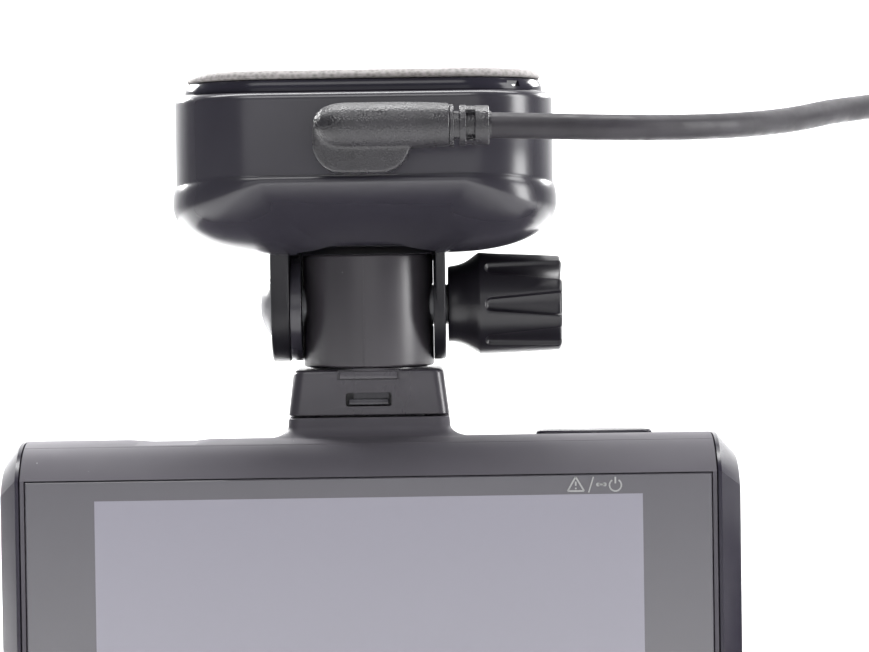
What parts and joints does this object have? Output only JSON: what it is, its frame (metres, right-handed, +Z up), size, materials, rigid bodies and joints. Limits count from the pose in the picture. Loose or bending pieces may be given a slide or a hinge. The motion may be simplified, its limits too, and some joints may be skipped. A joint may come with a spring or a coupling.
{
  "type": "radar detector",
  "caption": "Windscreen radar detector: screen unit hung from a square adhesive base by a tilting, swivelling clamp bracket, with a coiled power lead and car plug.",
  "frame": {"origin": "under the middle of the unit, on the swivel axis, at the height of its flat underside", "axes": "+Z up towards the windscreen pad, +X to the right as the driver sees the screen, +Y towards the road"},
  "size_m": [0.2249, 0.071, 0.0988],
  "materials": {
    "soft_touch_housing": "soft-touch matte, fine texture",
    "satin_black": "satin moulded",
    "gloss_black": "polished moulded",
    "knob_black": "moulded, semi-gloss",
    "gel_pad": "tacky gel sheet",
    "screen_glass": "polished, dark printed border",
    "display_grey": "unlit display",
    "lead_pvc": "soft PVC, slightly mottled",
    "tie_webbing": "hook-and-loop webbing",
    "steel": "machined",
    "brass": "machined",
    "circuit_board": "solder resist",
    "ceramic": "fired ceramic",
    "inner_black": "moulded",
    "foil": "pouch foil"
  },
  "bodies": {
    "base": {"windscreen_pad": "gel_pad", "base_bezel": "gloss_black", "base_housing": "satin_black", "base_screw_1": "steel", "base_screw_2": "steel", "base_screw_3": "steel", "base_screw_4": "steel", "base_board": "circuit_board", "gps_antenna": "ceramic", "dc_jack": "inner_black", "pivot_bolt": "steel", "friction_washer": "satin_black", "power_plug": "lead_pvc", "power_plug_barrel": "steel", "strain_relief": "lead_pvc", "cord": "lead_pvc", "cord_coil": "lead_pvc", "cord_tail": "lead_pvc", "coil_tie": "tie_webbing", "car_plug_relief": "lead_pvc", "car_plug_grip": "satin_black", "car_plug_barrel": "satin_black", "car_plug_collar": "inner_black", "car_plug_tip": "steel", "car_plug_contact_left": "steel", "car_plug_contact_right": "steel"},
    "knob": {"clamp_knob": "knob_black", "knob_nut": "brass"},
    "knuckle": {"knuckle": "satin_black", "swivel_screw": "steel"},
    "foot": {"foot": "gloss_black", "foot_contacts": "brass"},
    "latch": {"release_latch": "satin_black"},
    "unit": {"screen_frame": "soft_touch_housing", "rear_case": "soft_touch_housing", "side_trim_left": "gloss_black", "side_trim_right": "gloss_black", "screen_glass": "screen_glass", "display_panel": "display_grey", "main_board": "circuit_board", "radar_horn": "steel", "sensor_window": "gloss_black", "camera_lens": "gloss_black", "camera_module": "inner_black", "speaker": "inner_black", "battery_cell": "foil", "contact_block": "inner_black", "button_switch": "inner_black", "card_socket": "steel", "unit_screw_1": "steel", "unit_screw_2": "steel", "unit_screw_3": "steel", "unit_screw_4": "steel"},
    "button": {"top_button": "gloss_black"},
    "card": {"memory_card": "inner_black"}
  },
  "joints": [
    {"name": "clamp_turn", "type": "hinge", "parent": "base", "child": "knob", "pos_m": [0.017, 0, 0.07], "axis": [1, 0, 0], "range_deg": [0, 540]},
    {"name": "tilt", "type": "hinge", "parent": "base", "child": "knuckle", "pos_m": [0, 0, 0.07], "axis": [1, 0, 0], "range_deg": [-50, 60]},
    {"name": "swivel", "type": "hinge", "parent": "knuckle", "child": "foot", "pos_m": [0, 0, 0.062], "axis": [0, 0, 1], "range_deg": [-90, 90]},
    {"name": "latch_press", "type": "slide", "parent": "foot", "child": "latch", "axis": [0, 1, 0], "range_m": [0, 0.001], "stiffness_N_per_m": 600, "springref_m": -0.0004},
    {"name": "unit_release", "type": "slide", "parent": "foot", "child": "unit", "axis": [0, 0, -1], "range_m": [0, 0.009]},
    {"name": "button_press", "type": "slide", "parent": "unit", "child": "button", "axis": [0, 0, -1], "range_m": [0, 0.0005], "stiffness_N_per_m": 600, "springref_m": -0.0005},
    {"name": "card_slide", "type": "slide", "parent": "unit", "child": "card", "axis": [1, 0, 0], "range_m": [0, 0.013]}
  ]
}
